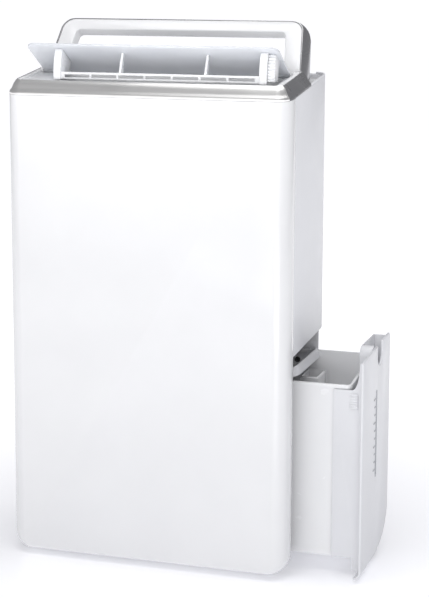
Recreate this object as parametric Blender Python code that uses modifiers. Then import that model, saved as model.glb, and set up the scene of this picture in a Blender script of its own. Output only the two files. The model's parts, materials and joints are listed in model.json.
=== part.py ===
"""Slim compressor dehumidifier: side-pull tank drawn out, outlet flap open, carry handle raised.

Lengths are written in millimetres and turned into metres on the way into the scene.
X runs to the viewer's right, Y to the back, Z up. The floor is Z = 0.
"""

import math

import bmesh
import bpy
from mathutils import Matrix, Vector

MM = 0.001
GAP = 0.3

# Cabinet
WIDTH = 350.0
DEPTH = 175.0
BASE_Z = 5.0
FRONT_H = 567.0
SLOPE = 6.85
WALL = 2.6
PANEL_WRAP = 26.0
FRONT_R = 18.0
REAR_R = 14.0
LOWER_R = 25.0
TRIM_RISE = 16.5
TRIM_INSET = 11.0

# The part's origin: the middle of its resting footprint, tank drawn out
ORIGIN_X = 42.0
ORIGIN_Y = 91.869

# Tank and its cover plate
PULL = 84.0
TANK_X0 = -58.0
TANK_X1 = 156.0
TANK_Y0 = 50.0
TANK_Y1 = 168.0
TANK_Z0 = 22.0
TANK_RIM_FRONT = 233.0
TANK_RIM_RISE = 0.11
TANK_WALL = 2.4
BAY_TOP_FRONT = 267.2
BAY_TOP_REAR = 275.8

# Outlet flap, in the deck's own frame
HINGE_Y = 78.0
HINGE_Z = 16.0
FLAP_OPEN = 38.0
FLAP_LEN = 66.0
FLAP_HALF = 155.0
ARM_R = 58.0

# Carry handle, in the deck's own frame
PIVOT_Y = 109.0
PIVOT_Z = 14.3
HANDLE_LIFT = 49.0
HANDLE_LEN = 67.0
HANDLE_FOOT = -4.0
SADDLE_Y = 100.0
SADDLE_Z = -4.8
TRIM_SPLIT = 97.0

SEGMENTS = 8

for item in list(bpy.data.objects):
    bpy.data.objects.remove(item, do_unlink=True)

PARTS = bpy.data.collections.new("Dehumidifier")
bpy.context.scene.collection.children.link(PARTS)
CUTTERS = bpy.data.collections.new("Cutters")
bpy.context.scene.collection.children.link(CUTTERS)

DECK = Matrix.Translation((0, 0, FRONT_H * MM)) @ Matrix.Rotation(math.radians(SLOPE), 4, "X")
FLAP = (
    DECK
    @ Matrix.Translation((0, HINGE_Y * MM, HINGE_Z * MM))
    @ Matrix.Rotation(math.radians(-FLAP_OPEN), 4, "X")
)
HANDLE = (
    DECK
    @ Matrix.Translation((0, PIVOT_Y * MM, PIVOT_Z * MM))
    @ Matrix.Rotation(math.radians(HANDLE_LIFT), 4, "X")
)
WORLD = Matrix.Identity(4)

MATERIALS = {
    "gloss_white": ((0.90, 0.90, 0.89), 0.0, 0.18),
    "satin_grey": ((0.68, 0.69, 0.71), 0.0, 0.42),
    "silver": ((0.66, 0.64, 0.60), 0.9, 0.28),
    "dark_trim": ((0.12, 0.12, 0.125), 0.0, 0.4),
    "tank_plastic": ((0.82, 0.83, 0.85), 0.0, 0.3),
    "window": ((0.45, 0.50, 0.56), 0.0, 0.12),
    "inner_plastic": ((0.52, 0.53, 0.55), 0.0, 0.5),
    "black_plastic": ((0.03, 0.03, 0.032), 0.0, 0.45),
    "rubber": ((0.04, 0.04, 0.04), 0.0, 0.8),
    "aluminium_fin": ((0.75, 0.76, 0.77), 1.0, 0.35),
    "copper": ((0.62, 0.33, 0.20), 1.0, 0.35),
    "steel": ((0.45, 0.46, 0.48), 1.0, 0.35),
    "black_paint": ((0.02, 0.02, 0.022), 0.2, 0.4),
    "mesh_fabric": ((0.10, 0.11, 0.13), 0.0, 0.8),
}


def material(node, slot):
    """Each node carries its own Principled material."""
    color, metallic, roughness = MATERIALS[slot]
    made = bpy.data.materials.new(node + "_" + slot)
    made.use_nodes = True
    shader = made.node_tree.nodes["Principled BSDF"]
    shader.inputs["Base Color"].default_value = (*color, 1.0)
    shader.inputs["Metallic"].default_value = metallic
    shader.inputs["Roughness"].default_value = roughness
    return made


def add(name, bm, slot, frame=WORLD, pivot=None):
    """Turn a bmesh in millimetres into an object. The pivot is a point in the same frame."""
    bmesh.ops.remove_doubles(bm, verts=bm.verts, dist=0.001)
    bmesh.ops.recalc_face_normals(bm, faces=bm.faces)
    mesh = bpy.data.meshes.new(name)
    bm.to_mesh(mesh)
    bm.free()
    mesh.transform(frame @ Matrix.Scale(MM, 4))
    centre = frame @ (Vector(pivot) * MM) if pivot else Vector((0, 0, 0))
    mesh.transform(Matrix.Translation(-centre))
    obj = bpy.data.objects.new(name, mesh)
    obj.location = centre
    if slot is None:
        CUTTERS.objects.link(obj)
        obj.hide_render = True
        obj.display_type = "WIRE"
        return obj
    PARTS.objects.link(obj)
    mesh.materials.append(material(name, slot))
    mesh.shade_smooth()
    mesh.set_sharp_from_angle(angle=math.radians(32))
    return obj


def loft_mesh(bm, loops, ring=False):
    """Join equal loops of points in order. The two end loops are capped unless the loft is a ring."""
    rows = [[bm.verts.new(point) for point in loop] for loop in loops]
    pairs = list(zip(rows, rows[1:]))
    if ring:
        pairs.append((rows[-1], rows[0]))
    count = len(rows[0])
    for one, two in pairs:
        for index in range(count):
            after = (index + 1) % count
            bm.faces.new((one[index], one[after], two[after], two[index]))
    if not ring:
        bm.faces.new(rows[0])
        bm.faces.new(rows[-1])


def loft(name, loops, slot, frame=WORLD, pivot=None):
    bm = bmesh.new()
    loft_mesh(bm, loops)
    return add(name, bm, slot, frame, pivot)


def placed(axis, a, b, height):
    """A point whose outline is (a, b) and whose extrusion height runs along the axis."""
    if axis == "X":
        return (height, a, b)
    if axis == "Y":
        return (a, height, b)
    return (a, b, height)


def prism_mesh(bm, outline, axis, low, high):
    loops = [[placed(axis, a, b, height) for a, b in outline] for height in (low, high)]
    loft_mesh(bm, loops)


def prism(name, outline, axis, low, high, slot, frame=WORLD, pivot=None):
    bm = bmesh.new()
    prism_mesh(bm, outline, axis, low, high)
    return add(name, bm, slot, frame, pivot)


def rect(x0, x1, y0, y1):
    return [(x0, y0), (x1, y0), (x1, y1), (x0, y1)]


def round_rect(x0, x1, y0, y1, radii, segments=SEGMENTS):
    """Radii are given for the corners (x0, y0), (x1, y0), (x1, y1) and (x0, y1)."""
    corners = [
        (x0, y0, 1, 1, 180),
        (x1, y0, -1, 1, 270),
        (x1, y1, -1, -1, 0),
        (x0, y1, 1, -1, 90),
    ]
    points = []
    for (x, y, sx, sy, start), radius in zip(corners, radii):
        radius = max(radius, 0.05)
        for step in range(segments + 1):
            angle = math.radians(start + 90.0 * step / segments)
            points.append(
                (
                    x + sx * radius + radius * math.cos(angle),
                    y + sy * radius + radius * math.sin(angle),
                )
            )
    return points


def box(name, low, high, slot, frame=WORLD, pivot=None, bevel=0.0):
    bm = bmesh.new()
    prism_mesh(bm, rect(low[0], high[0], low[1], high[1]), "Z", low[2], high[2])
    obj = add(name, bm, slot, frame, pivot)
    if bevel:
        soften(obj, bevel)
    return obj


def soften(obj, width, segments=2, angle=40):
    bevel = obj.modifiers.new("Soft", "BEVEL")
    bevel.width = width * MM
    bevel.segments = segments
    bevel.limit_method = "ANGLE"
    bevel.angle_limit = math.radians(angle)


def circle(cx, cy, radius, count=24):
    return [
        (
            cx + radius * math.cos(2 * math.pi * step / count),
            cy + radius * math.sin(2 * math.pi * step / count),
        )
        for step in range(count)
    ]


def turned_mesh(bm, profile, axis, centre, count=24):
    """Stack circles of (height, radius) along an axis through the centre."""
    loops = []
    for height, radius in profile:
        outline = circle(centre[0], centre[1], radius, count)
        loops.append([placed(axis, a, b, height) for a, b in outline])
    loft_mesh(bm, loops)


def turned(name, profile, axis, centre, slot, frame=WORLD, pivot=None, count=24):
    bm = bmesh.new()
    turned_mesh(bm, profile, axis, centre, count)
    return add(name, bm, slot, frame, pivot)


def boolean(target, other, kind="DIFFERENCE"):
    step = target.modifiers.new(kind.title(), "BOOLEAN")
    step.operation = kind
    step.object = other
    step.solver = "EXACT"


def cut_boxes(target, spans, frame=WORLD):
    """Cut several separate boxes with one cutter."""
    bm = bmesh.new()
    for low, high in spans:
        prism_mesh(bm, rect(low[0], high[0], low[1], high[1]), "Z", low[2], high[2])
    boolean(target, add(target.name + "_slots", bm, None, frame))


def cut_outline(target, tag, outline, axis, low, high, frame=WORLD):
    boolean(target, prism(target.name + "_" + tag, outline, axis, low, high, None, frame))


def pipe(name, points, radius, slot):
    """A round wire along a polyline, turned into a mesh."""
    curve = bpy.data.curves.new(name, "CURVE")
    curve.dimensions = "3D"
    curve.bevel_depth = radius * MM
    curve.bevel_resolution = 2
    curve.use_fill_caps = True
    spline = curve.splines.new("POLY")
    spline.points.add(len(points) - 1)
    for knot, point in zip(spline.points, points):
        knot.co = (point[0] * MM, point[1] * MM, point[2] * MM, 1.0)
    obj = bpy.data.objects.new(name, curve)
    PARTS.objects.link(obj)
    curve.materials.append(material(name, slot))
    return obj


def rounded_path(points, radius, segments=4):
    """Replace each inner corner of a polyline by an arc-like run of points."""
    points = [Vector(point) for point in points]
    path = [points[0]]
    for before, corner, after in zip(points, points[1:], points[2:]):
        inward = (before - corner).normalized()
        outward = (after - corner).normalized()
        start = corner + inward * radius
        end = corner + outward * radius
        for step in range(segments + 1):
            t = step / segments
            path.append((1 - t) ** 2 * start + 2 * t * (1 - t) * corner + t * t * end)
    path.append(points[-1])
    return path


# ---------------------------------------------------------------- cabinet


def panel_loop(y, inset_side, inset_foot, wall):
    """One XZ loop of the front panel at depth y. The top runs past the sloped cut."""
    half = WIDTH / 2 - inset_side - wall
    low = BASE_Z + inset_foot + wall
    radius = max(LOWER_R - inset_side - wall, 4.0)
    outline = round_rect(-half, half, low, FRONT_H + 60, (radius, radius, 1.0, 1.0), 8)
    return [(x, y, z) for x, z in outline]


def sloped_cutter(name, offset):
    """Everything above the deck frame's plane at this offset."""
    bm = bmesh.new()
    prism_mesh(bm, rect(-260, 260, -80, 320), "Z", offset, offset + 140)
    return add(name, bm, None, DECK)


def front_panel():
    loops = []
    wall = 3.0
    bend = FRONT_R - wall
    for step in range(6):
        angle = math.radians(90.0 - 18.0 * step)
        turn = 1 - math.cos(angle)
        loops.append(panel_loop(FRONT_R - bend * math.sin(angle), bend * turn, 4.5 * turn, wall))
    loops.append(panel_loop(PANEL_WRAP, 0.0, 0.0, wall))
    loops.append(panel_loop(PANEL_WRAP, 0.0, 0.0, 0.0))
    for step in range(6):
        angle = math.radians(18.0 * step)
        turn = 1 - math.cos(angle)
        loops.append(panel_loop(FRONT_R * (1 - math.sin(angle)), FRONT_R * turn, 7.0 * turn, 0.0))
    obj = loft("front_panel", loops, "gloss_white")
    boolean(obj, sloped_cutter("front_panel_top", -GAP))


def back_shell():
    half = WIDTH / 2
    y0 = PANEL_WRAP + GAP
    outer = [(-half, y0)]
    inner = [(-half + WALL, y0)]
    for sign, start in ((-1, 180), (1, 90)):
        for step in range(7):
            angle = math.radians(start - 15.0 * step)
            for points, radius in ((outer, REAR_R), (inner, REAR_R - WALL)):
                points.append(
                    (
                        sign * (half - REAR_R) + radius * math.cos(angle),
                        DEPTH - REAR_R + radius * math.sin(angle),
                    )
                )
    outer.append((half, y0))
    inner.append((half - WALL, y0))
    outline = outer + inner[::-1]
    obj = prism("back_shell", outline, "Z", BASE_Z + 9, FRONT_H + 80, "satin_grey")
    boolean(obj, sloped_cutter("back_shell_top", -GAP))
    bay = [(15, -5), (190, -5), (190, BAY_TOP_REAR), (15, BAY_TOP_FRONT)]
    cut_outline(obj, "bay", bay, "X", half - WALL - 0.5, half + 10)
    inner_bay = [(15, -5), (DEPTH - WALL, -5), (DEPTH - WALL, BAY_TOP_REAR), (15, BAY_TOP_FRONT)]
    cut_outline(obj, "corner", inner_bay, "X", half - REAR_R, half + 10)
    cut_boxes(obj, [((-85, 160, 300), (145, 190, 525))])
    cut_outline(obj, "drain", circle(-30, 284.5, 8.0, 20), "Y", 165, 185)
    cut_outline(obj, "inlet", circle(-125, 60, 9.0, 20), "Y", 165, 185)


def base_pan():
    outline = round_rect(-168, 158, 29, 171, (10, 10, 10, 10), 4)
    loops = []
    for z, inset in ((6, 3), (9, 0), (15.5, 0)):
        loops.append([(x * (1 - inset / 170), 100 + (y - 100) * (1 - inset / 72), z) for x, y in outline])
    obj = loft("base_pan", loops, "inner_plastic")
    cut_boxes(obj, [((-150, 150, 12.5), (-74, 162, 20)), ((-40, 60, 12.5), (140, 160, 20))])


def feet():
    spots = {"front_left": (-146, 46), "front_right": (136, 46)}
    spots.update({"rear_left": (-146, 154), "rear_right": (136, 154)})
    for name, spot in spots.items():
        profile = [(0, 9.5), (1.2, 11), (4.5, 11.5), (5.7, 11.5)]
        turned("foot_" + name, profile, "Z", spot, "rubber")


def trim_path(start, end):
    """Points and inward normals on the body outline, for the clockwise share start..end of the run."""
    half = WIDTH / 2
    length = DEPTH / math.cos(math.radians(SLOPE))
    run = []
    arcs = [
        (half - FRONT_R, FRONT_R, FRONT_R, -90),
        (half - REAR_R, length - REAR_R, REAR_R, 0),
        (-half + REAR_R, length - REAR_R, REAR_R, 90),
        (-half + FRONT_R, FRONT_R, FRONT_R, 180),
    ]
    run.append((0.0, 0.0, 0.0, 1.0, 0.0))
    for index, (cx, cy, radius, first) in enumerate(arcs):
        for step in range(7):
            angle = math.radians(first + 15 * step)
            cos, sin = math.cos(angle), math.sin(angle)
            run.append((cx + radius * cos, cy + radius * sin, -cos, -sin, index + step / 6))
        if index == 0:
            run.append((half, TRIM_SPLIT, -1.0, 0.0, 1.0))
            run.append((half, TRIM_SPLIT + GAP, -1.0, 0.0, 1.001))
        if index == 2:
            run.append((-half, TRIM_SPLIT + GAP, 1.0, 0.0, 3.0))
            run.append((-half, TRIM_SPLIT, 1.0, 0.0, 3.001))
    return run[start:end]


TRIM_TALL = [
    (0.0, 0.0),
    (0.0, 2.2),
    (1.0, 4.0),
    (2.6, 5.6),
    (4.0, 8.2),
    (5.6, 11.4),
    (7.8, 14.4),
    (TRIM_INSET - 0.8, TRIM_RISE),
    (TRIM_INSET, TRIM_RISE),
    (TRIM_INSET, 0.0),
]
TRIM_LOW = [(0.0, 0.0), (0.0, 1.2), (0.7, 2.1), (1.9, 2.1), (2.5, 1.5), (2.5, 0.0)]


def trim_solid(name, run, slot, profile=TRIM_TALL):
    loops = [[(x + nx * a, y + ny * a, b) for a, b in profile] for x, y, nx, ny, _ in run]
    return loft(name, loops, slot, DECK)


def trims():
    run = trim_path(0, None)
    right_corner = run[1:6]
    left_corner = run[-6:-1]
    half = [(0.0, 0.0, 0.0, 1.0, 0.0)]
    trim_solid("trim_front", left_corner[1:] + run[-1:] + half + right_corner, "silver")
    shift = [(x, y + GAP, nx, ny, k) for x, y, nx, ny, k in run[5:6]]
    trim_solid("trim_right", shift + run[6:9], "dark_trim")
    trim_solid("trim_rear_right", run[9:17], "satin_grey", TRIM_LOW)
    trim_solid("trim_rear_left", run[17:25], "satin_grey", TRIM_LOW)
    shift = [(x, y + GAP, nx, ny, k) for x, y, nx, ny, k in run[-5:-4]]
    trim_solid("trim_left", run[25:27] + shift, "dark_trim")


# ---------------------------------------------------------------- top deck


def top_deck():
    """Front plate, an island behind it for the controls, and a sunk saddle round the island for the handle."""
    half = WIDTH / 2 - TRIM_INSET - GAP
    wide = WIDTH / 2 - WALL - GAP
    rear = 172.3
    outline = round_rect(-half, half, TRIM_INSET + GAP, SADDLE_Y, (7, 7, 1.5, 1.5), 4)
    obj = prism("top_deck", outline, "Z", 0.0, TRIM_RISE, "gloss_white", DECK)
    island = [(-137, 93), (137, 93), (137, 113), (132.5, 153), (128, 157.5)]
    island += [(-x, y) for x, y in island[:1:-1]]
    boolean(obj, prism("deck_island", island, "Z", -6.9, TRIM_RISE, None, DECK), "UNION")
    floor = round_rect(-wide, wide, 98.0, rear, (1, 1, 12, 12), 5)
    boolean(obj, prism("deck_saddle", floor, "Z", SADDLE_Z - 2.2, SADDLE_Z, None, DECK), "UNION")
    riser = rect(-wide, wide, 97.4, SADDLE_Y)
    boolean(obj, prism("deck_riser", riser, "Z", SADDLE_Z - 2.2, -GAP, None, DECK), "UNION")
    riser = rect(-half + 2, half - 2, 97.6, SADDLE_Y - 0.3)
    boolean(obj, prism("deck_tie", riser, "Z", SADDLE_Z, 4.0, None, DECK), "UNION")
    outlet = ((-121, 18, -5), (152.5, 63, 30))
    cut_boxes(obj, [outlet], DECK)
    bed = [(5, 13.9), (HINGE_Y - 8, 13.9), (HINGE_Y - 5, 11.4), (HINGE_Y + 4.5, 11.4), (HINGE_Y + 4.5, 30), (5, 30)]
    cut_outline(obj, "bed", bed, "X", -158, 158, DECK)
    cut_boxes(obj, [((-125, 91, -12), (125, 150, 9.5))], DECK)
    bores = bmesh.new()
    for sign in (-1, 1):
        low, high = sorted((sign * 130, sign * 139))
        outline = circle(PIVOT_Y, PIVOT_Z, 2.5, 16)
        prism_mesh(bores, outline, "X", low, high)
    boolean(obj, add("top_deck_bores", bores, None, DECK))
    cut_boxes(obj, [((-70.5, 98.5, 2), (70.5, 128.5, 40))], DECK)


def outlet_grille():
    obj = box("outlet_grille", (-123.0, 13.0, 544.0), (155.0, 81.0, 548.0), "gloss_white")
    spans = []
    cells = 6
    pitch = 272.0 / cells
    for cell in range(cells):
        x0 = -120.0 + pitch * cell + 1.5
        x1 = -120.0 + pitch * (cell + 1) - 1.5
        for slat in range(4):
            y0 = 17.0 + 15.5 * slat
            spans.append(((x0, y0, 540), (x1, y0 + 13.0, 552)))
    cut_boxes(obj, spans)


def control_area():
    obj = box("control_panel", (-70, 99, 12.0), (70, 128, 17.3), "black_plastic", DECK, bevel=0.8)
    spots = {"power": -52, "mode": -22, "timer": 22, "fan": 52}
    bores = bmesh.new()
    for x in spots.values():
        turned_mesh(bores, [(5, 7.4), (25, 7.4)], "Z", (x, 113.5), 24)
    boolean(obj, add("control_panel_bores", bores, None, DECK))
    for name, x in spots.items():
        profile = [(9.8, 4.0), (13.0, 4.0), (13.2, 7.0), (17.8, 7.0), (18.5, 6.2)]
        turned("button_" + name, profile, "Z", (x, 113.5), "gloss_white", DECK, (x, 113.5, 14.0))
    box("control_board", (-66, 96, -8), (66, 131, 6.5), "inner_plastic", DECK, bevel=1.0)


# ---------------------------------------------------------------- flap


def flap():
    outline = round_rect(-FLAP_HALF, FLAP_HALF, -FLAP_LEN, 2.5, (9, 9, 1, 1), 5)
    obj = prism("flap", outline, "Z", -1.5, 1.5, "gloss_white", FLAP, (0, 0, 0))
    soften(obj, 0.7, 2)
    barrels = bmesh.new()
    for sign in (-1, 1):
        low, high = sorted((sign * (FLAP_HALF - 16), sign * (FLAP_HALF - 0.4)))
        turned_mesh(barrels, [(low, 3.3), (high, 3.3)], "X", (0, 0), 16)
    boolean(obj, add("flap_barrels", barrels, None, FLAP), "UNION")
    bores = bmesh.new()
    for sign in (-1, 1):
        low, high = sorted((sign * (FLAP_HALF - 10), sign * (FLAP_HALF + 2)))
        turned_mesh(bores, [(low, 2.3), (high, 2.3)], "X", (0, 0), 16)
    boolean(obj, add("flap_bores", bores, None, FLAP))


def sector(radius, low, high, inner, steps=8):
    """Outline in the flap frame's YZ plane: an arc about the hinge, closed by a shorter inner edge."""
    points = []
    for step in range(steps + 1):
        angle = math.radians(low + (high - low) * step / steps)
        points.append((-radius * math.cos(angle), -radius * math.sin(angle)))
    angle = math.radians(high)
    points.append((-inner * math.cos(angle), -inner * math.sin(angle)))
    points.append((-inner, -1.8))
    return points


def flap_arms():
    top = math.degrees(math.asin(1.8 / ARM_R))
    for name, x0, x1 in (("left", -119.5, -110.5), ("right", 133.5, 142.5)):
        outline = sector(ARM_R, top, 39.0, 26.0)
        obj = prism("flap_arm_" + name, outline, "X", x0, x1, "gloss_white", FLAP, (0, 0, 0))
        soften(obj, 0.6, 1)
    teeth = []
    count = 9
    for step in range(count):
        angle = top + 1.0 + (36.0 - top) * step / count
        for offset, radius in ((0.0, 53.6), (0.9, 56.0), (2.2, 56.0), (3.1, 53.6)):
            turn = math.radians(angle + offset)
            teeth.append((-radius * math.cos(turn), -radius * math.sin(turn)))
    end = math.radians(38.0)
    teeth.append((-40 * math.cos(end), -40 * math.sin(end)))
    teeth.append((-40, -1.8))
    teeth.append((-53.5, -1.8))
    prism("flap_rack", teeth, "X", 143.2, 151.0, "gloss_white", FLAP, (0, 0, 0))


def louver_blade():
    polar = ((56.5, 30.6), (53.0, 32.6), (43.5, 33.8), (43.5, 31.0), (53.0, 30.0), (56.0, 29.2))
    outline = [(-r * math.cos(math.radians(a)), -r * math.sin(math.radians(a))) for r, a in polar]
    obj = prism("louver_blade", outline, "X", -110.2, 133.2, "gloss_white", FLAP, (0, 0, 0))
    apron = []
    for radius, angles in ((57.2, (30.2, 34.0, 37.4)), (55.4, (37.4, 34.0, 30.2))):
        for angle in angles:
            turn = math.radians(angle)
            apron.append((-radius * math.cos(turn), -radius * math.sin(turn)))
    lip = prism("louver_apron", apron, "X", -110.2, 133.2, None, FLAP)
    boolean(obj, lip, "UNION")
    slots = bmesh.new()
    for cell in range(7):
        x0 = -110.2 + 5.0 + 33.7 * cell
        cell_low = [(-60, -29.9), (-40, -29.9), (-40, -33.2), (-60, -33.2)]
        prism_mesh(slots, cell_low, "X", x0, x0 + 31.2)
    boolean(obj, add("louver_slots", slots, None, FLAP))
    ribs = bmesh.new()
    for x in (-37.0, 68.0):
        web = [(-46.6, -28.0), (-50.5, -1.9), (-46.5, -1.9), (-38.6, -23.8)]
        prism_mesh(ribs, web, "X", x - 1.3, x + 1.3)
    boolean(obj, add("louver_ribs", ribs, None, FLAP), "UNION")


def flap_pivots():
    for name, sign in (("left", -1), ("right", 1)):
        low, high = sorted((sign * (FLAP_HALF + 0.4), sign * (FLAP_HALF + 2.6)))
        ear = [(HINGE_Y - 4, 14.2), (HINGE_Y + 3.6, 14.2), (HINGE_Y + 3.6, 20), (HINGE_Y - 4, 20)]
        obj = prism("flap_pivot_" + name, ear, "X", low, high, "gloss_white", DECK)
        pin = bmesh.new()
        low, high = sorted((sign * (FLAP_HALF - 9), sign * (FLAP_HALF + 1.5)))
        turned_mesh(pin, [(low, 2.0), (high, 2.0)], "X", (HINGE_Y, HINGE_Z), 16)
        boolean(obj, add("flap_pin_" + name, pin, None, DECK), "UNION")


# ---------------------------------------------------------------- handle


def handle_outline(leg, cross, corner):
    """One U line in the handle's plane, moved in from the outermost one by leg at the sides and cross at the end."""
    base = 160.0 - leg
    top = 154.0 - leg
    length = HANDLE_LEN - cross
    points = [(base, HANDLE_FOOT)]
    for step in range(7):
        angle = math.radians(15.0 * step)
        points.append((top - corner + corner * math.cos(angle), length - corner + corner * math.sin(angle)))
    return points + [(-x, y) for x, y in points[::-1]]


def handle_band(name, levels, slot):
    """Stack U bands along the plane's normal. A level is height, outer leg, outer cross, inner leg, inner cross."""
    loops = []
    for height, leg, cross, inner_leg, inner_cross, corner in levels:
        outer = handle_outline(leg, cross, 15.0)
        inner = handle_outline(inner_leg, inner_cross, corner)
        loops.append([(x, y, height) for x, y in outer + inner[::-1]])
    return loft(name, loops, slot, HANDLE, (0, 0, 0))


def handle():
    rim = [
        (5.2, -0.9, 0.2, 0.0, 1.1, 14.4),
        (3.6, -2.2, 0.0, 0.0, 1.1, 14.4),
        (2.1, -3.3, 0.0, 0.0, 1.1, 14.4),
        (1.3, -3.8, 0.0, 2.4, 9.5, 9.0),
        (-1.0, -4.9, 0.1, 2.4, 9.5, 9.0),
        (-5.0, -6.3, 0.5, 2.4, 9.5, 9.0),
        (-8.5, -7.1, 1.6, 2.4, 9.5, 9.0),
        (-10.8, -7.4, 3.7, 2.4, 9.5, 9.0),
        (-14.0, -7.5, 4.5, 2.4, 9.5, 9.0),
        (-17.0, -7.0, 5.1, 2.4, 9.5, 9.0),
        (-18.3, -5.8, 6.0, 2.4, 9.5, 9.0),
    ]
    handle_band("handle_rim", rim, "silver")
    plate = [
        (5.7, 1.0, 2.1, 18.7, 15.2, 7.0),
        (5.0, 0.3, 1.4, 19.5, 16.0, 6.2),
        (2.4, 0.3, 1.4, 19.5, 16.0, 6.2),
        (1.6, 2.7, 9.8, 19.5, 16.0, 6.2),
        (-9.2, 2.7, 9.8, 19.5, 16.0, 6.2),
        (-10.0, 3.4, 10.5, 18.7, 15.2, 7.0),
    ]
    obj = handle_band("handle_plate", plate, "gloss_white")
    bores = bmesh.new()
    for sign in (-1, 1):
        low, high = sorted((sign * 136, sign * 159))
        turned_mesh(bores, [(low, 2.5), (high, 2.5)], "X", (0, 0), 16)
    boolean(obj, add("handle_bores", bores, None, HANDLE))
    for name, sign in (("left", -1), ("right", 1)):
        low, high = sorted((sign * 131, sign * 156.6))
        turned("handle_pin_" + name, [(low, 2.1), (high, 2.1)], "X", (PIVOT_Y, PIVOT_Z), "steel", DECK, count=16)


# ---------------------------------------------------------------- tank


def tank_loop(inset, level):
    """A plan loop of the tank. A level of None is the sloping rim."""
    outline = round_rect(
        TANK_X0 + PULL + inset,
        TANK_X1 + PULL - inset,
        TANK_Y0 + inset,
        TANK_Y1 - inset,
        (20.0 - inset, 7.0 - inset, 7.0 - inset, 20.0 - inset),
        6,
    )
    loop = []
    for x, y in outline:
        z = TANK_RIM_FRONT + TANK_RIM_RISE * (y - TANK_Y0) if level is None else level
        loop.append((x, y, z))
    return loop


def tank_box():
    middle = (TANK_X0 + TANK_X1) / 2 + PULL

    def drawn(loop, shrink):
        centre = (TANK_Y0 + TANK_Y1) / 2
        return [(middle + (x - middle) * shrink, centre + (y - centre) * shrink, z) for x, y, z in loop]

    rim = tank_loop(0.0, None)
    lip = [(x, y, z - 4.0) for x, y, z in rim]
    under = [(x, y, z - 4.0) for x, y, z in tank_loop(0.8, None)]
    loops = [
        drawn(tank_loop(0.8, TANK_Z0), 0.965),
        drawn(tank_loop(0.8, TANK_Z0 + 3), 0.985),
        drawn(tank_loop(0.8, TANK_Z0 + 9), 0.992),
        under,
        lip,
        rim,
        tank_loop(0.8 + TANK_WALL, None),
        drawn(tank_loop(0.8 + TANK_WALL, TANK_Z0 + 10), 0.992),
        drawn(tank_loop(0.8 + TANK_WALL, TANK_Z0 + TANK_WALL + 2), 0.965),
    ]
    loft("tank_box", loops, "tank_plastic", pivot=(TANK_X0 + PULL, 100, 100))


def tank_cover():
    x0 = WIDTH / 2 - 2.8 + PULL
    x1 = WIDTH / 2 + PULL
    y0 = PANEL_WRAP + 0.6
    y1 = DEPTH - 0.4
    slope = (BAY_TOP_REAR - BAY_TOP_FRONT) / 175.0
    curl = 9.0
    low = curl + 4.0
    outline = [(y0, low), (118, low), (133, 15), (149, 21), (161, 29), (169, 39), (y1, 51)]
    for step in range(5):
        angle = math.radians(22.5 * step)
        top = BAY_TOP_FRONT - 1.2 + slope * (y1 - 7.0 + 7.0 * math.cos(angle) - 15)
        outline.append((y1 - 7.0 + 7.0 * math.cos(angle), top - 7.0 + 7.0 * math.sin(angle)))
    outline.append((131, BAY_TOP_FRONT - 1.2 + slope * 116))
    for step in range(9):
        angle = math.radians(-22.5 * step)
        outline.append((117 + 14 * math.cos(angle), 258 + 14 * math.sin(angle)))
    outline.append((103, BAY_TOP_FRONT - 1.2 + slope * 88))
    outline.append((y0, BAY_TOP_FRONT - 1.2 + slope * (y0 - 15)))
    obj = prism("tank_cover", outline, "X", x0, x1, "satin_grey", pivot=(x0, 100, 100))
    soften(obj, 0.9, 2, 50)
    lip = []
    for radius, turns in ((curl, range(7)), (curl - 2.4, range(6, -1, -1))):
        for step in turns:
            angle = math.radians(-15.0 * step)
            lip.append((x1 - curl + radius * math.cos(angle), low + radius * math.sin(angle)))
    lip.append((x1 - 2.4, low + 3.0))
    lip.append((x1, low + 3.0))
    boolean(obj, prism("tank_cover_curl", lip, "Y", y0 + 0.4, 117.0, None), "UNION")
    flange = [(x0 - 38.0, TANK_Z0 + 1.0), (x0 - 13.0, TANK_Z0 + 1.0), (x0 - 13.0, 8.0), (x0 - 4.0, 6.5)]
    flange += [(x0 + 1.2, 14.0), (x0 + 1.2, 262.0)]
    for step in range(7):
        angle = math.radians(90.0 - 15.0 * step)
        flange.append((x0 - 15.4 + 9.0 * math.sin(angle), 260.0 - 32.0 * math.cos(angle)))
    flange += [(x0 - 35.5, 228.0), (x0 - 37.3, 227.3), (x0 - 38.0, 225.5)]
    web = prism("tank_cover_flange", flange, "Y", TANK_Y0 - 1.6, TANK_Y0 - 0.3, None)
    boolean(obj, web, "UNION")
    window = [(98.4, 113.0), (101.6, 113.0), (100.6, 216.0), (99.4, 216.0)]
    frame = [(98.0, 112.6), (102.0, 112.6), (101.0, 216.4), (99.0, 216.4)]
    cut_outline(obj, "slot", frame, "X", x0 - 5, x1 + 5)
    prism("level_window", window, "X", x0 + 0.6, x1 - 0.3, "window", pivot=(x0, 100, 100))


def tank_grip():
    x0 = TANK_X1 + PULL + GAP
    x1 = WIDTH / 2 - 2.8 + PULL - GAP
    outline = round_rect(84, 170, 215, 272.5, (6, 6, 12, 12), 4)
    obj = prism("tank_grip", outline, "X", x0, x1, "satin_grey", pivot=(x0, 100, 240))
    soften(obj, 1.2, 2, 50)
    hollow = round_rect(96, 158, 232, 300, (8, 8, 1, 1), 4)
    cut_outline(obj, "hollow", hollow, "X", x0 + 2.6, x1 + 5)


def tank_clip():
    x0 = TANK_X1 + PULL + GAP
    x1 = WIDTH / 2 - 2.8 + PULL - GAP
    points = [(47.0, 206.0), (46.6, 206.4)]
    for step in range(4):
        z = 207.4 + 4.0 * step
        points += [(46.6, z), (47.3, z + 0.6), (47.3, z + 2.4), (46.6, z + 3.0)]
    points += [(46.6, 223.8), (47.0, 224.2), (TANK_Y0 - 1.9, 224.2), (TANK_Y0 - 1.9, 206.0)]
    obj = prism("tank_clip", points, "X", x0 - 2.0, x1 - 8.0, "satin_grey", pivot=(x0, 48, 215))
    soften(obj, 0.4, 1)


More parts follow.
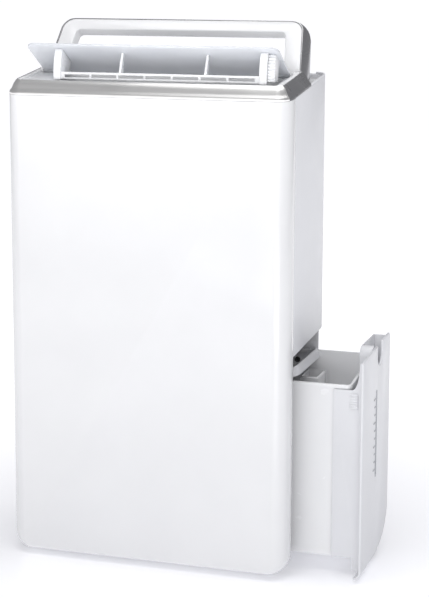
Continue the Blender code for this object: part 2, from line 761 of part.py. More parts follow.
def tank_bail():
    """Two legs pivot inside the tank walls. The grip lies across, just above the rim."""
    x = TANK_X0 + PULL
    run = [
        (x + 116, TANK_Y0 + 6.6, 232.0),
        (x + 146, TANK_Y0 + 6.6, 244.5),
        (x + 146, TANK_Y1 - 6.6, 244.5),
        (x + 116, TANK_Y1 - 6.6, 232.0),
    ]
    loops = []
    path = rounded_path(run, 9.0, 4)
    for index, point in enumerate(path):
        ahead = path[min(index + 1, len(path) - 1)] - path[max(index - 1, 0)]
        ahead.normalize()
        up = Vector((-0.35, 0.0, 0.94)).normalized()
        side = ahead.cross(up).normalized()
        loop = []
        for a, b in ((-1.3, -5.8), (1.3, -5.8), (1.3, 5.8), (-1.3, 5.8)):
            loop.append(tuple(point + side * a + up * b))
        loops.append(loop)
    obj = loft("tank_bail", loops, "satin_grey", pivot=(x + 119, 109, 233))
    soften(obj, 0.5, 1)


def tank_float():
    x = TANK_X0 + PULL + 136
    obj = box("tank_float", (x, 104, 190), (x + 24, 146, 226), "gloss_white", pivot=(x + 2, 125, 223), bevel=2.0)
    cut_boxes(obj, [((x + 2.4, 106.4, 200), (x + 21.6, 143.6, 240))])


# ---------------------------------------------------------------- inside


def compressor():
    profile = [(26, 48), (29, 48), (29.2, 44), (34, 45.5), (40, 46), (206, 46), (214, 45), (224, 38), (231, 26), (234, 12)]
    turned("compressor", profile, "Z", (-115, 88), "black_paint", count=32)
    for index in range(3):
        angle = math.radians(90 + 120 * index)
        spot = (-115 + 40 * math.cos(angle), 88 + 40 * math.sin(angle))
        turned("compressor_mount_%d" % (index + 1), [(15.8, 8), (18, 9), (23, 7), (25.7, 7)], "Z", spot, "rubber")


def finned_block(name, x0, x1, y0, y1, z0, z1):
    """A coil pack: a comb of fins on both faces of a core."""
    count = 22
    pitch = (x1 - x0) / count
    core = 4.0
    front = []
    back = []
    for step in range(count):
        a = x0 + pitch * step
        b = a + pitch * 0.45
        front += [(a, y0), (b, y0), (b, y0 + core), (a + pitch, y0 + core)]
        back += [(a, y1), (b, y1), (b, y1 - core), (a + pitch, y1 - core)]
    front[-1] = (x1, y0 + core)
    back[-1] = (x1, y1 - core)
    prism(name, front + back[::-1], "Z", z0, z1, "aluminium_fin")


def inside():
    finned_block("condenser", -60, 130, 94, 112, 302, 520)
    finned_block("evaporator", -60, 130, 122, 140, 302, 520)
    tray = [
        (-70, 140, 86, 150, 278, 4),
        (-74, 144, 84, 154, 296, 4),
        (-72, 142, 86, 152, 296, 4),
        (-68, 138, 88, 148, 280, 4),
    ]
    loops = []
    for x0, x1, y0, y1, z, radius in tray:
        loops.append([(x, y, z) for x, y in round_rect(x0, x1, y0, y1, (radius,) * 4, 3)])
    obj = loft("drip_tray", loops, "inner_plastic")
    cut_outline(obj, "drip", circle(40, 118, 5, 16), "Z", 270, 300)
    box("bulkhead", (-66, 30, 15.9), (-63.4, 170, 268), "inner_plastic")
    box("tank_switch", (-63.1, 96, 118), (-59.0, 116, 134), "black_plastic", bevel=0.8)
    pipe(
        "discharge_pipe",
        rounded_path([(-115, 103, 239), (-115, 103, 270), (-92, 103, 292), (-92, 103, 500), (-64.5, 103, 500)], 9),
        3.2,
        "copper",
    )
    pipe(
        "suction_pipe",
        rounded_path([(-64.5, 131, 330), (-150, 131, 330), (-150, 131, 252), (-123, 95, 240)], 10),
        4.2,
        "copper",
    )
    turned("capacitor", [(300, 15), (301.5, 16), (352, 16), (354, 14.5)], "Z", (-148, 50), "aluminium_fin")


def fan():
    centre = (15.0, 420.0)
    outline = []
    for step in range(19):
        turn = -200.0 + 220.0 * step / 18
        angle = math.radians(turn)
        radius = 108.0 + 26.0 * step / 18
        outline.append((centre[0] + radius * math.cos(angle), centre[1] + radius * math.sin(angle)))
    outline.append((158.0, 500.0))
    outline.append((158.0, 566.0))
    outline.append((-126.0, 566.0))
    outline.append((-126.0, 500.0))

    def shrunk(amount):
        made = []
        for x, z in outline:
            if z > 560:
                made.append((x - math.copysign(amount, x), 580.0))
                continue
            away = Vector((x - centre[0], z - centre[1]))
            away *= 1 - amount / away.length
            made.append((centre[0] + away.x, centre[1] + away.y))
        return made

    obj = prism("fan_housing", outline, "Y", 10, 84, "inner_plastic")
    cut_outline(obj, "scroll", shrunk(2.6), "Y", 12.6, 81.4)
    cut_outline(obj, "eye", circle(centre[0], centre[1], 74, 32), "Y", 75, 95)
    blades = bmesh.new()
    count = 28
    wheel = []
    for step in range(count):
        first = 2 * math.pi * step / count
        for radius, share in ((92.0, 0.0), (92.0, 0.28), (80.0, 0.42), (80.0, 0.86)):
            angle = first + 2 * math.pi / count * share
            wheel.append((centre[0] + radius * math.cos(angle), centre[1] + radius * math.sin(angle)))
    prism_mesh(blades, wheel, "Y", 20, 72)
    obj = add("impeller", blades, "black_plastic", pivot=(centre[0], 45, centre[1]))
    cut_outline(obj, "hollow", circle(centre[0], centre[1], 70, 32), "Y", 24, 90)
    cut_outline(obj, "hub", circle(centre[0], centre[1], 6.5, 20), "Y", 15, 30)
    motor = [(14, 5.5), (27.5, 5.5), (28, 30), (30, 33), (58, 33), (60, 30), (66, 12)]
    turned("fan_motor", motor, "Y", centre, "steel", count=28)


def rear_unit():
    obj = box("rear_grille", (-84.3, 171.4, 300.7), (144.3, 175.0, 524.3), "satin_grey")
    spans = []
    for row in range(14):
        z0 = 311.0 + 15.0 * row
        spans.append(((-76, 165, z0), (28, 180, z0 + 8)))
        spans.append(((32, 165, z0), (136, 180, z0 + 8)))
    cut_boxes(obj, spans)
    obj = box("filter_frame", (-82, 165.0, 303), (142, 171.0, 522), "black_plastic")
    cut_boxes(obj, [((-75, 160, 310), (28, 168.4, 515)), ((32, 160, 310), (135, 168.4, 515))])
    cut_boxes_back = [((-72, 160, 313), (25, 180, 512)), ((35, 160, 313), (132, 180, 512))]
    bm = bmesh.new()
    for low, high in cut_boxes_back:
        prism_mesh(bm, rect(low[0], high[0], low[1], high[1]), "Z", low[2], high[2])
    boolean(obj, add("filter_frame_through", bm, None))
    box("filter_mesh_left", (-74.6, 166.6, 310.4), (27.6, 168.1, 514.6), "mesh_fabric")
    box("filter_mesh_right", (32.4, 166.6, 310.4), (134.6, 168.1, 514.6), "mesh_fabric")


def back_fittings():
    cap = [(166, 6.4), (175.3, 6.4), (175.4, 11.5), (179.5, 11.5), (180.6, 10)]
    turned("drain_cap", cap, "Y", (-30, 284.5), "inner_plastic", pivot=(-30, 175, 284.5))
    gland = [(166, 7.2), (175.3, 7.2), (175.4, 12.0), (178.5, 11.0), (178.7, 7.5), (184.0, 6.5)]
    obj = turned("cord_inlet", gland, "Y", (-125, 60), "black_plastic")
    cut_outline(obj, "bore", circle(-125, 60, 3.6, 16), "Y", 160, 190)


front_panel()
back_shell()
base_pan()
feet()
trims()
top_deck()
outlet_grille()
control_area()
flap()
flap_arms()
louver_blade()
flap_pivots()
handle()
tank_box()
tank_cover()
tank_grip()
tank_clip()
tank_bail()
tank_float()
compressor()
inside()
fan()
rear_unit()
back_fittings()

for item in bpy.data.objects:
    item.location -= Vector((ORIGIN_X, ORIGIN_Y, 0)) * MM
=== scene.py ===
"""Looks of the slim dehumidifier: materials, fine pieces, floor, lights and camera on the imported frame."""

import json
import math

import bmesh
import bpy
from mathutils import Matrix, Vector


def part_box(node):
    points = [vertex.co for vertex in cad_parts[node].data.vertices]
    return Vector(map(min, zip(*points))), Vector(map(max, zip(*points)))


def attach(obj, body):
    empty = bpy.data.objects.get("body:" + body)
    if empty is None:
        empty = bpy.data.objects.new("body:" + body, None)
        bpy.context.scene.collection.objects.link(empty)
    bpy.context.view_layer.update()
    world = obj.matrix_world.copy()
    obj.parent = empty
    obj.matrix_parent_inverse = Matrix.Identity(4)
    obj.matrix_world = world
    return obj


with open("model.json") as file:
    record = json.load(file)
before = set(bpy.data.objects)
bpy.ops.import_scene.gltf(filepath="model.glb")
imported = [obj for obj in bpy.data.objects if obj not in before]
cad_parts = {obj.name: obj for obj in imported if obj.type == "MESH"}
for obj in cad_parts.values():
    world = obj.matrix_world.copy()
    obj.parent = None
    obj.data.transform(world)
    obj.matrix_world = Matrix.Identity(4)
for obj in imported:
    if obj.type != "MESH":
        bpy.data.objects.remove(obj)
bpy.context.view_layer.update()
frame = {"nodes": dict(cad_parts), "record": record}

NODES = frame["nodes"]
SCENE = bpy.context.scene
MM = 0.001

# Degrees: faces that meet at more than these are shaded sharp, or are rounded.
SHARP_DEGREES = 34
BEVEL_DEGREES = 38

# The deck's own frame: its front edge is at this place, in metres, and it rises to the rear by this angle.
SLOPE = 6.85
DECK_FRONT = (-0.042, -0.091869, 0.567)
DECK = Matrix.Translation(DECK_FRONT) @ Matrix.Rotation(math.radians(SLOPE), 4, "X")

# Metres.
LENS_ASIDE = 0.0115
LENS_FORWARD = 0.0005
WELD_DISTANCE = 0.00001
FLOOR_HALF = 30.0

# How many there are.
TICKS = 10
BENDS = 7

# Millimetres, like every length below that is multiplied by MM.
USUAL_EDGE = 0.25
CONTROL_LEVEL = 17.3
TICK_END_GAP = 8.0
TICK_ASIDE = 3.0
TICK_HALF = 0.8
TICK_PROUD = 0.6
TICK_SUNK = 0.3
TICK_LONG = 10.0
TICK_SHORT = 6.0
RIM_RADIUS = 0.42
RIM_OUTSET = 0.9
RIM_TAPER = 1.1
RIM_ENDS = 0.2
RIM_PROUD = 0.05
SCREW_HEIGHTS = (34.0, 262.0, 552.0)
SCREW_SIDES = (("left", -204.0), ("right", 120.0))
SCREW_SUNK = 0.25
CAP_INSET = 2.45
CAP_ACROSS = 5.0
CAP_UP = 6.2
BEND_FIRST = 14.0
BEND_PITCH = 29.0
BEND_RADIUS = 7.5
BEND_SUNK = 1.0
PIPE_RADIUS = 3.0


# ---------------------------------------------------------------- materials


def nodes_of(name):
    made = bpy.data.materials.new(name)
    made.use_nodes = True
    tree = made.node_tree
    return made, tree, tree.nodes["Principled BSDF"]


def coords(tree, scale=(1.0, 1.0, 1.0)):
    """Object coordinates with a scale along each axis."""
    source = tree.nodes.new("ShaderNodeTexCoord")
    mapping = tree.nodes.new("ShaderNodeMapping")
    mapping.inputs["Scale"].default_value = scale
    tree.links.new(source.outputs["Object"], mapping.inputs["Vector"])
    return mapping.outputs["Vector"]


def noise(tree, vector, scale, detail=3.0, rough=0.5):
    node = tree.nodes.new("ShaderNodeTexNoise")
    node.inputs["Scale"].default_value = scale
    node.inputs["Detail"].default_value = detail
    node.inputs["Roughness"].default_value = rough
    tree.links.new(vector, node.inputs["Vector"])
    return node.outputs["Fac"]


def ramp(tree, fac, low, high, start=0.3, end=0.7):
    """A two-stop ramp from low to high, numbers or colours."""
    node = tree.nodes.new("ShaderNodeValToRGB")
    stops = node.color_ramp.elements
    for stop, place, value in ((stops[0], start, low), (stops[1], end, high)):
        stop.position = place
        stop.color = (value, value, value, 1) if isinstance(value, (int, float)) else (*value, 1)
    tree.links.new(fac, node.inputs["Fac"])
    return node.outputs["Color"]


def bump(tree, shader, heights):
    """Stack bumps, given as (height socket, strength, distance)."""
    last = None
    for height, strength, distance in heights:
        node = tree.nodes.new("ShaderNodeBump")
        node.inputs["Strength"].default_value = strength
        node.inputs["Distance"].default_value = distance
        tree.links.new(height, node.inputs["Height"])
        if last is not None:
            tree.links.new(last, node.inputs["Normal"])
        last = node.outputs["Normal"]
    tree.links.new(last, shader.inputs["Normal"])


def moulded(name, low, high, rough, spread, grain_scale, grain, peel=0.0, coat=0.0):
    """Moulded plastic: faint cloudiness, uneven gloss, surface grain and slow sink marks."""
    made, tree, shader = nodes_of(name)
    space = coords(tree)
    cloud = noise(tree, space, scale=9.0, detail=4.0, rough=0.55)
    tree.links.new(ramp(tree, cloud, low, high), shader.inputs["Base Color"])
    smear = noise(tree, space, scale=38.0, detail=5.0, rough=0.6)
    gloss = ramp(tree, smear, rough - spread, rough + spread, start=0.25, end=0.75)
    tree.links.new(gloss, shader.inputs["Roughness"])
    heights = [(noise(tree, space, grain_scale, detail=2.0, rough=0.5), grain, 0.0004)]
    if peel:
        heights.append((noise(tree, space, scale=130.0, detail=1.0, rough=0.4), peel, 0.0006))
    bump(tree, shader, heights)
    shader.inputs["Coat Weight"].default_value = coat
    shader.inputs["Coat Roughness"].default_value = 0.08
    return made


def brushed(name, low, high, rough, axis_scale, strength=0.12):
    """Brushed metal: long fine scratches that colour, roughen and bump the surface."""
    made, tree, shader = nodes_of(name)
    space = coords(tree, axis_scale)
    lines = noise(tree, space, scale=60.0, detail=6.0, rough=0.7)
    broad = noise(tree, coords(tree), scale=14.0, detail=3.0, rough=0.5)
    tree.links.new(ramp(tree, lines, low, high, start=0.2, end=0.8), shader.inputs["Base Color"])
    mix = tree.nodes.new("ShaderNodeMath")
    mix.operation = "MULTIPLY_ADD"
    mix.inputs[1].default_value = 0.18
    mix.inputs[2].default_value = rough
    tree.links.new(broad, mix.inputs[0])
    tree.links.new(mix.outputs["Value"], shader.inputs["Roughness"])
    bump(tree, shader, [(lines, strength, 0.0003)])
    shader.inputs["Metallic"].default_value = 1.0
    shader.inputs["Anisotropic"].default_value = 0.4
    return made


def clear_plastic(name, low, high, rough, transmission, milky=0.0):
    """Tinted see-through plastic with flow marks."""
    made, tree, shader = nodes_of(name)
    space = coords(tree, (1.0, 1.0, 0.35))
    flow = noise(tree, space, scale=16.0, detail=4.0, rough=0.6)
    tree.links.new(ramp(tree, flow, low, high), shader.inputs["Base Color"])
    fine = noise(tree, coords(tree), scale=70.0, detail=3.0, rough=0.5)
    tree.links.new(ramp(tree, fine, rough, rough + 0.12), shader.inputs["Roughness"])
    bump(tree, shader, [(flow, 0.05, 0.001), (fine, 0.04, 0.0005)])
    shader.inputs["Transmission Weight"].default_value = transmission
    shader.inputs["IOR"].default_value = 1.49
    shader.inputs["Subsurface Weight"].default_value = milky
    shader.inputs["Subsurface Radius"].default_value = (1.0, 1.0, 1.1)
    shader.inputs["Subsurface Scale"].default_value = 0.02
    return made


def woven(name, low, high, count):
    """A square filter weave from two crossed waves."""
    made, tree, shader = nodes_of(name)
    source = coords(tree)
    waves = []
    for direction in ("X", "Z"):
        wave = tree.nodes.new("ShaderNodeTexWave")
        wave.bands_direction = direction
        wave.inputs["Scale"].default_value = count
        wave.inputs["Distortion"].default_value = 0.3
        tree.links.new(source, wave.inputs["Vector"])
        waves.append(wave.outputs["Fac"])
    top = tree.nodes.new("ShaderNodeMath")
    top.operation = "MAXIMUM"
    tree.links.new(waves[0], top.inputs[0])
    tree.links.new(waves[1], top.inputs[1])
    weave = ramp(tree, top.outputs["Value"], low, high, start=0.55, end=0.9)
    tree.links.new(weave, shader.inputs["Base Color"])
    tree.links.new(ramp(tree, noise(tree, source, scale=50.0), 0.55, 0.85), shader.inputs["Roughness"])
    bump(tree, shader, [(top.outputs["Value"], 0.6, 0.0008)])
    return made


LOOKS = {
    "gloss_white": moulded(
        "gloss_white", (0.81, 0.812, 0.823), (0.84, 0.842, 0.853),
        rough=0.14, spread=0.05, grain_scale=900.0, grain=0.03, peel=0.05, coat=0.3
    ),
    # Partly painted shade: the satin finish and grain are real, but the base is darker and bluer than
    # gloss_white to stand in for the bluish shade on the white plastic's sides.
    "satin_grey": moulded(
        "satin_grey", (0.755, 0.76, 0.785), (0.785, 0.79, 0.815),
        rough=0.34, spread=0.07, grain_scale=1400.0, grain=0.16, peel=0.03, coat=0.1
    ),
    "silver": brushed(
        "silver", (0.88, 0.87, 0.855), (0.97, 0.965, 0.955),
        rough=0.26, axis_scale=(0.5, 9.0, 22.0), strength=0.08
    ),
    "dark_trim": moulded(
        "dark_trim", (0.12, 0.12, 0.127), (0.17, 0.17, 0.178),
        rough=0.3, spread=0.08, grain_scale=1200.0, grain=0.15
    ),
    "tank_plastic": clear_plastic(
        "tank_plastic", (0.90, 0.905, 0.92), (0.93, 0.933, 0.945),
        rough=0.16, transmission=0.02, milky=0.08
    ),
    "window": clear_plastic(
        "window", (0.07, 0.08, 0.10), (0.13, 0.145, 0.17),
        rough=0.08, transmission=0.15
    ),
    "inner_plastic": moulded(
        "inner_plastic", (0.42, 0.43, 0.45), (0.52, 0.53, 0.545),
        rough=0.5, spread=0.08, grain_scale=1100.0, grain=0.25
    ),
    "black_plastic": moulded(
        "black_plastic", (0.016, 0.016, 0.018), (0.034, 0.034, 0.037),
        rough=0.36, spread=0.08, grain_scale=1300.0, grain=0.2
    ),
    "rubber": moulded(
        "rubber", (0.018, 0.018, 0.018), (0.04, 0.04, 0.041),
        rough=0.78, spread=0.08, grain_scale=700.0, grain=0.4
    ),
    "aluminium_fin": brushed(
        "aluminium_fin", (0.60, 0.61, 0.62), (0.82, 0.83, 0.84),
        rough=0.28, axis_scale=(1.0, 1.0, 0.08)
    ),
    "copper": brushed(
        "copper", (0.48, 0.22, 0.12), (0.70, 0.38, 0.24),
        rough=0.26, axis_scale=(1.0, 1.0, 0.2)
    ),
    "steel": brushed(
        "steel", (0.38, 0.39, 0.41), (0.56, 0.57, 0.59),
        rough=0.26, axis_scale=(1.0, 0.2, 1.0)
    ),
    "black_paint": moulded(
        "black_paint", (0.012, 0.012, 0.014), (0.028, 0.028, 0.031),
        rough=0.3, spread=0.06, grain_scale=500.0, grain=0.1, peel=0.25
    ),
    "mesh_fabric": woven(
        "mesh_fabric", (0.02, 0.022, 0.028), (0.13, 0.14, 0.16),
        count=250.0
    ),
    # Painted shade: the flap is white plastic, and this darker, bluer base stands in for the shade on its
    # underside.
    "flap_painted_shade": clear_plastic(
        "flap_painted_shade", (0.61, 0.63, 0.67), (0.66, 0.68, 0.72),
        rough=0.05, transmission=0.0, milky=0.3
    ),
    # Painted light: a brighter copy of the white plastic for the outlet's arms, rack, blade and grille,
    # lightening them against the shade of the recess.
    "outlet_painted_light": clear_plastic(
        "outlet_painted_light", (0.91, 0.92, 0.945), (0.95, 0.955, 0.97),
        rough=0.22, transmission=0.0, milky=0.3
    ),
    "shell_silver": brushed(
        "shell_silver", (0.42, 0.42, 0.43), (0.56, 0.56, 0.57),
        rough=0.18, axis_scale=(20.0, 9.0, 0.5), strength=0.08
    ),
    "lens": clear_plastic(
        "lens", (0.10, 0.42, 0.30), (0.16, 0.52, 0.38),
        rough=0.06, transmission=0.3
    ),
    # Painted shade: the grey of the raised level ticks and slot rim stands in for the shading on embossed
    # white marks.
    "painted_shade_grey": moulded(
        "painted_shade_grey", (0.42, 0.43, 0.46), (0.50, 0.51, 0.54),
        rough=0.32, spread=0.05, grain_scale=1200.0, grain=0.1
    ),
}

# Nodes whose look differs from their slot's usual one: the flap gets a darker copy of the white plastic as
# painted shade, the outlet parts a brighter copy as painted light.
OWN_LOOK = {
    "flap": "flap_painted_shade",
    "flap_arm_left": "outlet_painted_light",
    "flap_arm_right": "outlet_painted_light",
    "flap_rack": "outlet_painted_light",
    "louver_blade": "outlet_painted_light",
    "outlet_grille": "outlet_painted_light",
    "handle_rim": "shell_silver",
}

# ---------------------------------------------------------------- CAD nodes that stay

SLOT_OF = {row["node"]: row["material_slot"] for row in frame["record"]["subparts"]}

# Edge widths in millimetres, where they differ from the usual one.
EDGE = {
    "front_panel": 0.8,
    "back_shell": 0.5,
    "top_deck": 0.7,
    "flap": 0.0,
    "outlet_grille": 0.4,
    "rear_grille": 0.5,
    "base_pan": 0.5,
    "tank_box": 0.5,
    "fan_housing": 0.5,
    "drip_tray": 0.4,
    "bulkhead": 0.4,
    "trim_front": 0.3,
    "trim_left": 0.3,
    "trim_right": 0.3,
    "trim_rear_left": 0.3,
    "trim_rear_right": 0.3,
    "filter_frame": 0.4,
    "level_window": 0.3,
}


def round_edges(obj, width):
    """Round the sharp edges by a width in millimetres."""
    bevel = obj.modifiers.new("Edge", "BEVEL")
    bevel.width = width * MM
    bevel.segments = 2
    bevel.limit_method = "ANGLE"
    bevel.angle_limit = math.radians(BEVEL_DEGREES)


def dress(name):
    """Give a CAD node its look: welded, softly bevelled, smooth where it curves."""
    obj = NODES[name]
    obj.data.materials.clear()
    obj.data.materials.append(LOOKS[OWN_LOOK.get(name, SLOT_OF[name])])
    weld = obj.modifiers.new("Weld", "WELD")
    weld.merge_threshold = WELD_DISTANCE
    width = EDGE.get(name, USUAL_EDGE)
    if width:
        round_edges(obj, width)
    obj.data.shade_smooth()
    smooth_by_angle(obj, SHARP_DEGREES)


def smooth_by_angle(obj, degrees):
    """Sharp edges wherever two faces meet at more than this angle, kept through the modifiers."""
    group = bpy.data.node_groups.get("smooth_angle_%d" % degrees)
    if group is None:
        group = bpy.data.node_groups.new("smooth_angle_%d" % degrees, "GeometryNodeTree")
        group.interface.new_socket("Geometry", in_out="INPUT", socket_type="NodeSocketGeometry")
        group.interface.new_socket("Geometry", in_out="OUTPUT", socket_type="NodeSocketGeometry")
        start = group.nodes.new("NodeGroupInput")
        end = group.nodes.new("NodeGroupOutput")
        angle = group.nodes.new("GeometryNodeInputMeshEdgeAngle")
        compare = group.nodes.new("FunctionNodeCompare")
        compare.data_type = "FLOAT"
        compare.operation = "LESS_EQUAL"
        compare.inputs[1].default_value = math.radians(degrees)
        faces = group.nodes.new("GeometryNodeSetShadeSmooth")
        faces.domain = "FACE"
        edges = group.nodes.new("GeometryNodeSetShadeSmooth")
        edges.domain = "EDGE"
        link = group.links.new
        link(start.outputs[0], faces.inputs["Geometry"])
        link(faces.outputs[0], edges.inputs["Geometry"])
        link(angle.outputs["Unsigned Angle"], compare.inputs[0])
        link(compare.outputs["Result"], edges.inputs["Shade Smooth"])
        link(edges.outputs[0], end.inputs[0])
    modifier = obj.modifiers.new("SmoothByAngle", "NODES")
    modifier.node_group = group


for node_name in NODES:
    dress(node_name)


# ---------------------------------------------------------------- fine pieces


def piece(name, bm, body, slot, look=None, rounding=0.0):
    """Close a bmesh into an object that rides on a body."""
    bmesh.ops.recalc_face_normals(bm, faces=bm.faces)
    mesh = bpy.data.meshes.new(name)
    bm.to_mesh(mesh)
    bm.free()
    obj = bpy.data.objects.new(name, mesh)
    SCENE.collection.objects.link(obj)
    obj.data.materials.append(LOOKS[look or slot])
    if rounding:
        round_edges(obj, rounding)
    obj.data.shade_smooth()
    smooth_by_angle(obj, SHARP_DEGREES)
    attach(obj, body)
    return obj


def bar(bm, low, high):
    """A closed block between two corners, in millimetres of the row frame. Its piece rounds the edges."""
    (x0, y0, z0), (x1, y1, z1) = low, high
    corners = [(x, y, z) for x in (x0, x1) for y in (y0, y1) for z in (z0, z1)]
    verts = [bm.verts.new(Vector(corner) * MM) for corner in corners]
    for face in ((0, 1, 3, 2), (4, 6, 7, 5), (0, 4, 5, 1), (2, 3, 7, 6), (0, 2, 6, 4), (1, 5, 7, 3)):
        bm.faces.new([verts[index] for index in face])


def join_rings(bm, pairs):
    """Faces between rings that have the same number of points."""
    for low, high in pairs:
        count = len(low)
        for step in range(count):
            after = (step + 1) % count
            bm.faces.new((low[step], low[after], high[after], high[step]))


def lathe(bm, frame_matrix, profile, count=20):
    """Turn (radius, height) pairs, in millimetres, about the local Z axis of a frame."""
    rings = []
    for radius, height in profile:
        ring = []
        for step in range(count):
            angle = 2 * math.pi * step / count
            spot = Vector((radius * math.cos(angle), radius * math.sin(angle), height)) * MM
            ring.append(bm.verts.new(frame_matrix @ spot))
        rings.append(ring)
    join_rings(bm, zip(rings, rings[1:]))
    bm.faces.new(rings[0][::-1])
    bm.faces.new(rings[-1])


def tube(bm, points, radius, count=10, closed=False):
    """A round tube along points, in millimetres of the row frame."""
    path = [Vector(point) * MM for point in points]
    rings = []
    total = len(path)
    for index, point in enumerate(path):
        before = path[(index - 1) % total] if closed or index else point
        after = path[(index + 1) % total] if closed or index < total - 1 else point
        ahead = (after - before).normalized()
        side = ahead.cross(Vector((0.3, 0.2, 0.93))).normalized()
        over = side.cross(ahead)
        ring = []
        for step in range(count):
            angle = 2 * math.pi * step / count
            spoke = side * math.cos(angle) + over * math.sin(angle)
            ring.append(bm.verts.new(point + spoke * radius * MM))
        rings.append(ring)
    join_rings(bm, zip(rings, rings[1:]))
    if closed:
        join_rings(bm, [(rings[-1], rings[0])])
    else:
        bm.faces.new(rings[0][::-1])
        bm.faces.new(rings[-1])


def screw(bm, spot, facing, radius=3.4):
    """A pan head with a cross recess, its flat underside at spot."""
    turn = Vector(facing).to_track_quat("Z", "Y").to_matrix().to_4x4()
    place = Matrix.Translation(Vector(spot) * MM) @ turn
    count = 16
    rows = ((1.0, 0.0), (1.0, 0.55), (0.86, 1.0), (0.6, 1.25), (0.5, 1.28), (0.16, 1.3))
    rings = []
    for share, height in rows:
        ring = []
        for step in range(count):
            angle = 2 * math.pi * step / count
            dip = 0.75 if share <= 0.5 and step % 4 == 0 else 0.0
            reach = share * radius
            where = Vector((reach * math.cos(angle), reach * math.sin(angle), height - dip)) * MM
            ring.append(bm.verts.new(place @ where))
        rings.append(ring)
    join_rings(bm, zip(rings, rings[1:]))
    bm.faces.new(rings[0][::-1])
    middle = bm.verts.new(place @ (Vector((0, 0, 0.45)) * MM))
    for step in range(count):
        bm.faces.new((rings[-1][step], rings[-1][(step + 1) % count], middle))


def level_marks():
    """Raised ticks beside the level window and a fine rim around its slot, both coloured grey as painted
    shade.
    """
    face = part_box("tank_cover")[1][0] / MM
    low, high = (Vector(corner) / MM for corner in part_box("level_window"))
    bm = bmesh.new()
    for index in range(TICKS):
        z = low.z + TICK_END_GAP + (high.z - low.z - 2 * TICK_END_GAP) * index / (TICKS - 1)
        reach = TICK_LONG if index % 3 == 0 else TICK_SHORT
        inner = (face - TICK_SUNK, low.y - TICK_ASIDE - reach, z - TICK_HALF)
        bar(bm, inner, (face + TICK_PROUD, low.y - TICK_ASIDE, z + TICK_HALF))
    piece("level_ticks", bm, "tank", "satin_grey", "painted_shade_grey", 0.2)
    middle = (low.y + high.y) / 2
    bm = bmesh.new()
    wide = (high.y - low.y) / 2 + RIM_OUTSET
    slim = wide - RIM_TAPER
    loop = []
    ends = (
        (low.z - RIM_ENDS, wide, (180, 225, 270, 315, 360)),
        (high.z + RIM_ENDS, slim, (0, 45, 90, 135, 180)),
    )
    for z, half, turns in ends:
        for turn in turns:
            angle = math.radians(turn)
            across = middle + half * math.cos(angle)
            loop.append((face + RIM_PROUD, across, z + half * math.sin(angle)))
    tube(bm, loop, RIM_RADIUS, 8, closed=True)
    piece("level_slot_rim", bm, "tank", "satin_grey", "painted_shade_grey")


def rear_screws():
    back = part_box("back_shell")[1][1] / MM
    for row, height in enumerate(SCREW_HEIGHTS):
        for name, x in SCREW_SIDES:
            bm = bmesh.new()
            screw(bm, (x, back - SCREW_SUNK, height), (0, 1, 0))
            piece("rear_screw_%s_%d" % (name, row + 1), bm, "cabinet", "steel")


def bail_caps():
    """Dark pivot caps on the inner sides of the bail's legs."""
    low, high = (Vector(corner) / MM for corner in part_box("tank_bail"))
    for name, y, way in (("front", low.y + CAP_INSET, 1), ("rear", high.y - CAP_INSET, -1)):
        turn = Matrix.Rotation(math.radians(-90 * way), 4, "X")
        pivot = Vector((low.x + CAP_ACROSS, y, low.z + CAP_UP)) * MM
        place = Matrix.Translation(pivot) @ turn
        bm = bmesh.new()
        lathe(bm, place, [(3.6, 0.0), (3.6, 0.7), (3.1, 1.1), (1.4, 1.1), (1.1, 0.7)])
        piece("bail_cap_" + name, bm, "tank_bail", "black_plastic")


def indicators():
    """A small unlettered lens beside each button, on the control panel's top face."""
    normal = DECK.to_3x3() @ Vector((0, 0, 1))
    ahead = DECK.to_3x3() @ Vector((0, 1, 0))
    deck_point = DECK @ Vector((0, 0, 0))
    for name in ("power", "mode", "timer", "fan"):
        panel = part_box("control_panel")
        low, high = (Vector(corner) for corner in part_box("button_" + name))
        middle = (low + high) / 2
        spot = middle + Vector((LENS_ASIDE, 0, 0)) + ahead * -LENS_FORWARD
        spot = spot + normal * (CONTROL_LEVEL * MM - (spot - deck_point).dot(normal))
        place = Matrix.Translation(spot) @ DECK.to_3x3().to_4x4()
        bm = bmesh.new()
        lathe(bm, place, [(1.3, -0.3), (1.3, 0.15), (1.0, 0.45), (0.5, 0.6)], 14)
        piece("indicator_" + name, bm, "cabinet", "window", "lens")


def coil_bends():
    """Copper return bends down the end of each coil pack."""
    for coil in ("condenser", "evaporator"):
        low, high = (Vector(corner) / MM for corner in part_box(coil))
        middle = (low.y + high.y) / 2
        for index in range(BENDS):
            base = low.z + BEND_FIRST + BEND_PITCH * index
            bm = bmesh.new()
            path = []
            for step in range(9):
                angle = math.radians(-90 + 22.5 * step)
                out = BEND_RADIUS * math.cos(angle)
                up = BEND_RADIUS + BEND_RADIUS * math.sin(angle)
                path.append((high.x - BEND_SUNK + out, middle, base + up))
            tube(bm, path, PIPE_RADIUS)
            piece("%s_bend_%d" % (coil, index + 1), bm, "cabinet", "copper")


level_marks()
rear_screws()
bail_caps()
indicators()
coil_bends()


# ---------------------------------------------------------------- stage


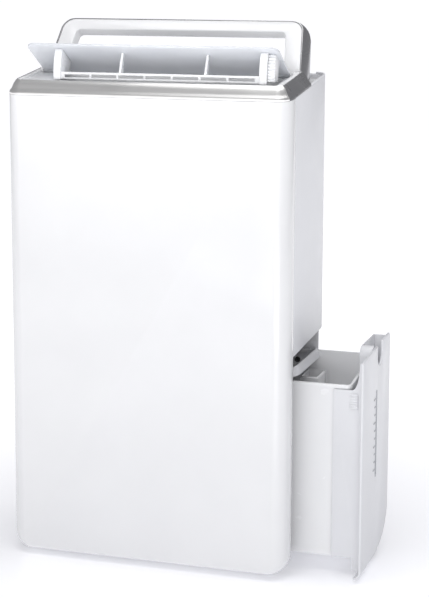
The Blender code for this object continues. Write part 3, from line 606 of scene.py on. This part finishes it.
def stage():
    bm = bmesh.new()
    bmesh.ops.create_grid(bm, x_segments=1, y_segments=1, size=FLOOR_HALF)
    mesh = bpy.data.meshes.new("studio_floor")
    bm.to_mesh(mesh)
    bm.free()
    floor = bpy.data.objects.new("studio_floor", mesh)
    SCENE.collection.objects.link(floor)
    made, tree, shader = nodes_of("studio_floor")
    cloud = noise(tree, coords(tree), scale=0.8, detail=2.0, rough=0.5)
    paint = ramp(tree, cloud, (0.89, 0.892, 0.91), (0.92, 0.922, 0.935))
    tree.links.new(paint, shader.inputs["Base Color"])
    tree.links.new(ramp(tree, cloud, 0.10, 0.16), shader.inputs["Roughness"])
    shader.inputs["Specular IOR Level"].default_value = 0.12
    # Painted light: the floor glows, dim near the object and bright far from it, so it reads white far off
    # and leaves room for shade near the object.
    spread = tree.nodes.new("ShaderNodeTexGradient")
    spread.gradient_type = "SPHERICAL"
    tree.links.new(coords(tree, (0.3, 0.3, 0.3)), spread.inputs["Vector"])
    painted_floor_glow = ramp(tree, spread.outputs["Fac"], (0.72, 0.72, 0.735), (0.27, 0.27, 0.285), start=0.7, end=0.95)
    tree.links.new(painted_floor_glow, shader.inputs["Emission Color"])
    shader.inputs["Emission Strength"].default_value = 1.0
    floor.data.materials.append(made)


def area(name, place, target, size, power, tint=(1.0, 1.0, 1.0), mirrored=True):
    data = bpy.data.lights.new(name, "AREA")
    data.shape = "RECTANGLE"
    data.size, data.size_y = size
    data.energy = power
    data.color = tint
    lamp = bpy.data.objects.new(name, data)
    lamp.location = place
    lamp.rotation_euler = (Vector(target) - Vector(place)).to_track_quat("-Z", "Y").to_euler()
    lamp.visible_camera = False
    lamp.visible_glossy = mirrored
    SCENE.collection.objects.link(lamp)


def lights():
    world = bpy.data.worlds.new("studio")
    world.use_nodes = True
    world.node_tree.nodes["Background"].inputs["Color"].default_value = (0.98, 0.985, 1.02, 1.0)
    world.node_tree.nodes["Background"].inputs["Strength"].default_value = 0.31
    SCENE.world = world
    area("key", (-1.3, -3.0, 1.1), (0, 0, 0.2), size=(2.0, 2.0), power=7.0, tint=(1.0, 0.995, 0.98))
    area("fill", (0.55, -3.2, 0.8), (0, 0, 0.2), size=(1.8, 1.4), power=12.5)
    area("low_fill", (1.0, -2.4, 0.32), (0.12, -0.05, 0.2), size=(1.2, 0.5), power=6.5)
    area("top", (0.45, -0.3, 2.6), (0, 0, 0.3), size=(2.8, 1.7), power=32.0)
    area(
        "outlet_fill", (-0.05, -0.30, 0.70), (-0.04, -0.03, 0.605),
        size=(0.30, 0.05), power=0.3, mirrored=False
    )


def camera():
    data = bpy.data.cameras.new("camera")
    eye = bpy.data.objects.new("camera", data)
    eye.location = (0.6382, -1.972669, 0.7345)
    eye.rotation_euler = (math.pi / 2 - 0.1665, 0.0, 0.3236)
    data.sensor_width = 36.0
    data.lens = 104.3
    data.shift_x = 0.0513
    data.shift_y = -0.0947
    data.clip_end = 200.0
    SCENE.collection.objects.link(eye)
    SCENE.camera = eye


stage()
lights()
camera()
SCENE.view_settings.view_transform = "Standard"
